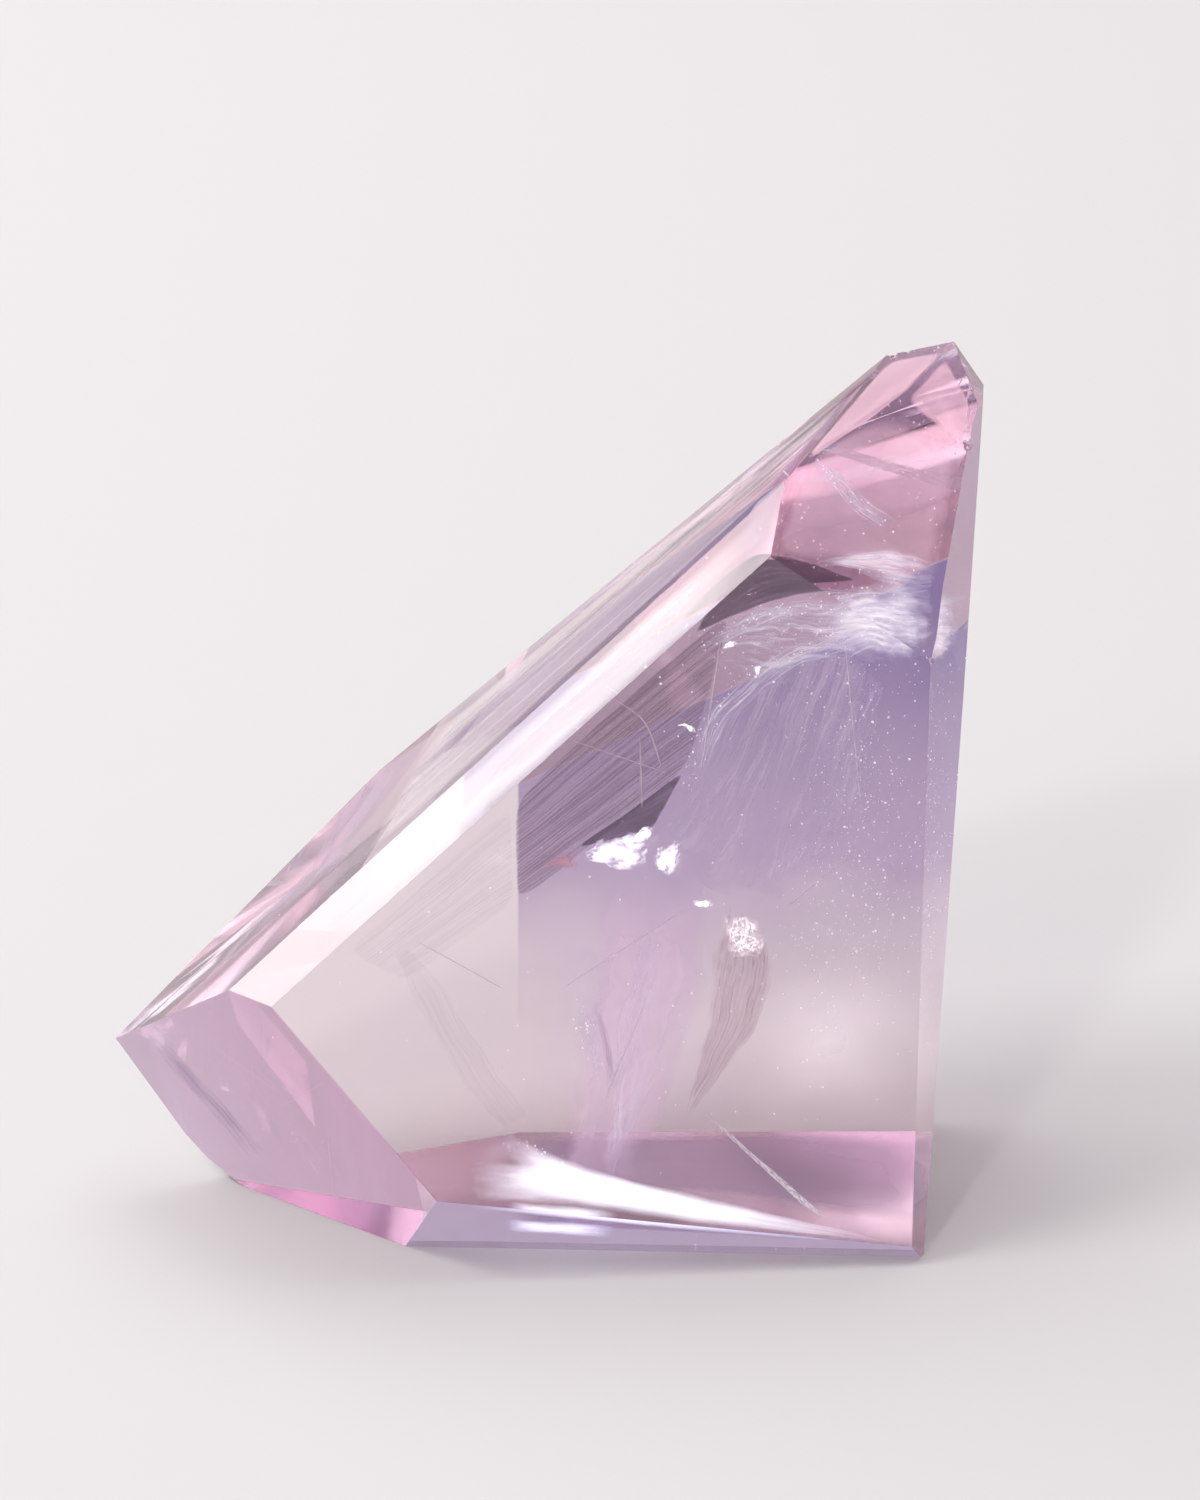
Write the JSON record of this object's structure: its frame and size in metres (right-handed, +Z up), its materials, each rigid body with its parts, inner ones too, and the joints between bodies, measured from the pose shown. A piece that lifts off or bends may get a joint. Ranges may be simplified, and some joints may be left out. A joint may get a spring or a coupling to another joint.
{
  "type": "faceted rose quartz crystal",
  "caption": "Cut and polished free-form of clear rose quartz: a leaning, faceted wedge of stone that stands on its flat base.",
  "frame": {"origin": "middle of the stone's footprint box, on the surface it stands on", "axes": "+Z up, +X towards the end with the tall tip, -Y the side of the big front facet"},
  "size_m": [0.0446, 0.0284, 0.0402],
  "materials": {
    "quartz": "polished"
  },
  "bodies": {
    "root": {"crystal": "quartz"}
  },
  "joints": []
}
